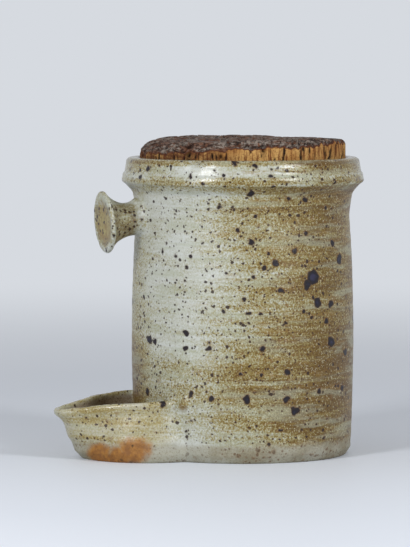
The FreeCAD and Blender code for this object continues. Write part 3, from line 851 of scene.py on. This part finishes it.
def iron_spots(shade, on, foot, thinness_and_shading, base):
    """Specks everywhere and molten blotches with halos; returns the colour and the blotches."""
    moved = shade.vector("ADD", shade.place, shade.drift(2.2, 9, 1.8))
    bending = shade.drift(4.5, 5, 4.0)
    warped = shade.vector("ADD", shade.place, bending)
    large = blotch_gap(shade, on, moved, bending)
    fine = speck_gap(shade, on, moved)
    rusty = shade.smallest(
        shade.dots(warped, spacing=5.5, small=0.4, large=1.2, share=0.5, seed=6),
        shade.beyond(warped, *SMEAR),
    )
    halo = shade.largest(
        shade.step(large, 1.0, 0.0),
        shade.step(fine, 0.35, 0.0),
        shade.step(rusty, 0.5, -0.5),
    )
    halo = shade.times(halo, shade.step(thinness_and_shading, 0.0, 0.6, 0.15, 0.5))
    base = shade.mix(halo, base, HALO)
    molten = shade.step(large, 0.25, -0.4)
    dark = shade.largest(molten, shade.times(shade.step(fine, 0.15, -0.15), 0.92))
    core = shade.mix(shade.step(large, 0.0, -1.6), IRON_EDGE, IRON)
    # Painted highlight: a bluish sheen in the middle of the largest blotches, where the light is reflected.
    core = shade.mix(shade.step(large, -1.4, -3.2), core, IRON_HIGHLIGHT)
    shown = shade.times(dark, shade.step(foot, 0.0, 1.0, 1.0, 0.4))
    return shade.mix(shown, base, core), molten


def glaze():
    """A speckled stoneware glaze, grey-green where thick, ochre to brown where thin."""
    shade = Shader("speckled_glaze")
    on = glaze_regions(shade)
    foot = shade.step(shade.total(on.height, shade.times(on.ragged, 5.0)), 13.0, 8.0)
    thinness_and_shading = glaze_thinness_and_shading(shade, on)
    base = mottled_glaze(shade, on, thinness_and_shading)
    base = paint_knob(shade, on, base)
    base = starve_dish(shade, on, base)
    base = bare_foot(shade, on, foot, base)
    base = flash_dish(shade, on, base)
    base, molten = iron_spots(shade, on, foot, thinness_and_shading, base)

    roughness = shade.total(
        shade.times(on.sand, 0.20),
        shade.times(foot, 0.30),
        shade.times(on.inside, 0.20),
        shade.step(shade.largest(on.collar, on.lip), 0.0, 1.0, 0.28, 0.08),
    )
    pitted = shade.bump(on.sand, 0.10 * MM)
    ringed = shade.noise((60, 60, 2.2), seed=11, detail=2.0, roughness=0.5)
    ringed = shade.bump(ringed, 0.25 * MM, pitted)
    swollen = shade.bump(molten, 0.4 * MM, ringed)
    return shade.finish(base, roughness, swollen, specular=0.4)


# ---- the cork

CORK_PALE = colour(196, 154, 92)
CORK_BROWN = colour(168, 120, 64)
CORK_STREAK = colour(110, 64, 30)
CORK_FLECK = colour(104, 56, 28)
CORK_RUSTY = colour(76, 36, 18)
PORE_AND_HOLE_SHADE = colour(26, 12, 6)
BARK_BROWN = colour(68, 49, 39)
BARK_GREY = colour(140, 129, 119)
BARK_RED = colour(106, 64, 40)
BARK_BLACK = colour(30, 19, 15)
FISSURE_AND_SHADE = colour(30, 19, 14)
RUSTY_DARK = colour(44, 25, 17)
RUSTY_PALE = colour(112, 70, 46)
SEAM_RED = colour(96, 50, 26)
SEAM_DARK = colour(70, 36, 22)


def sawn_cork(shade, flecks):
    """Tan cork, streaked and flecked, redder and darker towards the knob."""
    patches = shade.noise(14, seed=5, detail=2.0, roughness=0.5)
    cork = shade.mix(shade.step(patches, 0.4, 0.6), CORK_PALE, CORK_BROWN)
    cork = shade.mix(shade.step(shade.noise((1.2, 1.2, 9), seed=1), 0.45, 0.66), cork, CORK_STREAK)
    cork = shade.mix(shade.step(flecks, 0.5, 0.72), cork, CORK_FLECK)
    towards_knob = shade.step(shade.axes(shade.place)[0], -12, -48, 0.0, 0.9)
    mottles = shade.step(shade.noise((4, 4, 3), seed=8, roughness=0.7), 0.35, 0.6, 0.3, 1.0)
    cork = shade.mix(shade.times(towards_knob, mottles), cork, CORK_RUSTY)
    # Dark pores, and painted shade in the holes.
    return shade.mix(shade.attribute("pore"), cork, PORE_AND_HOLE_SHADE)


def weathered_bark(shade):
    """Grey over brown, with redder and blacker crumbs, fissures and hollows darkened partly as painted shade,
    and rusty patches.
    """
    weather = shade.noise((2.8, 5, 1.8), seed=3, detail=4.0, roughness=0.8)
    weather = shade.step(weather, 0.43, 0.57)
    crust = shade.mix(weather, BARK_BROWN, BARK_GREY)
    red = shade.noise((3.2, 5, 1.8), seed=7, roughness=0.7)
    crust = shade.mix(shade.step(red, 0.54, 0.64), crust, BARK_RED)
    black = shade.noise((2.6, 4, 1.5), seed=6, roughness=0.7)
    crust = shade.mix(shade.step(black, 0.53, 0.62), crust, BARK_BLACK)
    # Painted shade in fissures, hollows and holes, over the bark's own dark fissures.
    crust = shade.mix(shade.times(shade.attribute("deep"), 0.85), crust, FISSURE_AND_SHADE)
    rusty = shade.times(shade.step(shade.noise((11, 15, 4), seed=9), 0.47, 0.60), 0.75)
    return shade.mix(rusty, crust, shade.mix(weather, RUSTY_DARK, RUSTY_PALE))


def cork_and_bark():
    """Sawn cork below and bark above, with a reddish seam between them."""
    shade = Shader("cork_and_bark")
    bark = shade.attribute("bark")
    flecks = shade.noise(1.0, seed=2, roughness=0.7)
    seam = shade.mix(flecks, SEAM_RED, SEAM_DARK)
    base = shade.mix(shade.step(bark, 0.05, 0.35), sawn_cork(shade, flecks), seam)
    base = shade.mix(shade.step(bark, 0.45, 0.95), base, weathered_bark(shade))
    grain = shade.bump(shade.noise(0.9, seed=4, roughness=0.7), 0.5 * MM)
    return shade.finish(base, 0.85, grain, specular=0.25)


# ---------------------------------------------------------------- stage

BACKDROP = colour(214, 218, 224)
TABLE_TINTS = (colour(222, 228, 238), colour(228, 233, 242))
TABLE_HALF = 30.0
FADE_START = 0.25  # how far from the pot the table starts to fade into the backdrop
FADE_END = 1.6
ROOM_LIGHT = 0.42
LAMP_ELEVATION = math.radians(24)
LAMP_DISTANCE = 1.3
LAMP_SIZE = (0.22, 0.34)

# Each lamp's name, its turn from the camera in degrees, and its power in watts.
LAMPS = [("left_softbox", -35, 7.5), ("right_softbox", 47, 6.5)]


def rays_that_look(tree):
    """1 for rays from the camera, and for what is seen mirrored or through glass."""
    path = tree.nodes.new("ShaderNodeLightPath")
    value = path.outputs["Is Camera Ray"]
    for name in ("Is Glossy Ray", "Is Transmission Ray"):
        node = tree.nodes.new("ShaderNodeMath")
        node.operation = "MAXIMUM"
        tree.links.new(value, node.inputs[0])
        tree.links.new(path.outputs[name], node.inputs[1])
        value = node.outputs[0]
    return value


def table_top():
    """A pale table that fades into the backdrop's colour away from the pot."""
    shade = Shader("pale_table")
    tint = shade.mix(shade.noise(300, seed=1, detail=2.0, roughness=0.5), *TABLE_TINTS)
    faint = shade.bump(shade.noise(2.0, seed=2, detail=2.0, roughness=0.5), 0.02 * MM)
    shade.finish(tint, 0.6, faint, specular=0.3)
    far = shade.step(shade.vector("LENGTH", shade.place), FADE_START / MM, FADE_END / MM)
    glow = shade.tree.nodes.new("ShaderNodeEmission")
    glow.inputs["Color"].default_value = BACKDROP
    blend = shade.tree.nodes.new("ShaderNodeMixShader")
    shade.join(blend.inputs["Fac"], shade.times(far, rays_that_look(shade.tree)))
    shade.join(blend.inputs[1], shade.surface.outputs[0])
    shade.join(blend.inputs[2], glow.outputs[0])
    shade.join(shade.tree.nodes["Material Output"].inputs["Surface"], blend.outputs[0])
    return shade.material


def make_camera():
    sight = Vector((VIEW_RIGHT_Y, -VIEW_RIGHT_X, 0))
    across = Vector((VIEW_RIGHT_X, VIEW_RIGHT_Y, 0))
    camera = bpy.data.objects.new("camera", bpy.data.cameras.new("camera"))
    camera.data.lens = FOCAL_LENGTH
    camera.data.clip_end = FARTHEST_SEEN
    camera.location = sight * VIEW_DISTANCE + Vector((0, 0, VIEW_HEIGHT))
    aim = across * AIM_ACROSS + Vector((0, 0, AIM_HEIGHT))
    camera.rotation_euler = (aim - camera.location).to_track_quat("-Z", "Y").to_euler()
    bpy.context.scene.collection.objects.link(camera)
    bpy.context.scene.camera = camera


def hang_softbox(name, azimuth, power):
    """A soft light that faces the pot; its azimuth is in radians and measured as the camera's."""
    lamp = bpy.data.lights.new(name, "AREA")
    lamp.shape = "RECTANGLE"
    lamp.size, lamp.size_y = LAMP_SIZE
    lamp.energy = power
    light = bpy.data.objects.new(name, lamp)
    level = math.cos(LAMP_ELEVATION)
    away = Vector((math.sin(azimuth) * level, -math.cos(azimuth) * level, math.sin(LAMP_ELEVATION)))
    light.location = away * LAMP_DISTANCE + Vector((0, 0, RIM / 2))
    light.rotation_euler = (-away).to_track_quat("-Z", "Y").to_euler()
    bpy.context.scene.collection.objects.link(light)


def lay_table():
    half = TABLE_HALF
    mesh = bpy.data.meshes.new("floor")
    mesh.from_pydata([(-half, -half, 0), (half, -half, 0), (half, half, 0), (-half, half, 0)], [], [range(4)])
    mesh.materials.append(table_top())
    floor = bpy.data.objects.new("floor", mesh)
    bpy.context.scene.collection.objects.link(floor)


def light_room():
    """An even white room, which is seen as the backdrop's colour."""
    world = bpy.data.worlds.new("studio")
    bpy.context.scene.world = world
    world.use_nodes = True
    nodes, links = world.node_tree.nodes, world.node_tree.links
    room = nodes["Background"]
    room.inputs["Color"].default_value = (1, 1, 1, 1)
    room.inputs["Strength"].default_value = ROOM_LIGHT
    backdrop = nodes.new("ShaderNodeBackground")
    backdrop.inputs["Color"].default_value = BACKDROP
    blend = nodes.new("ShaderNodeMixShader")
    links.new(rays_that_look(world.node_tree), blend.inputs["Fac"])
    links.new(room.outputs[0], blend.inputs[1])
    links.new(backdrop.outputs[0], blend.inputs[2])
    links.new(blend.outputs[0], nodes["World Output"].inputs["Surface"])


def place(surface, node, slot, material):
    surface.piece.data.materials.append(material)
    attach(surface.piece, "root")
    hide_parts(node)
    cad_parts[node].data.materials.clear()
    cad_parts[node].data.materials.append(material)


make_camera()
place(throw_pot(), "pot", "stoneware", glaze())
place(cut_cork(), "cork_lid", "cork", cork_and_bark())
for name, turn, power in LAMPS:
    hang_softbox(name, VIEW_AZIMUTH + math.radians(turn), power)
lay_table()
light_room()
bpy.context.scene.view_settings.view_transform = "Standard"
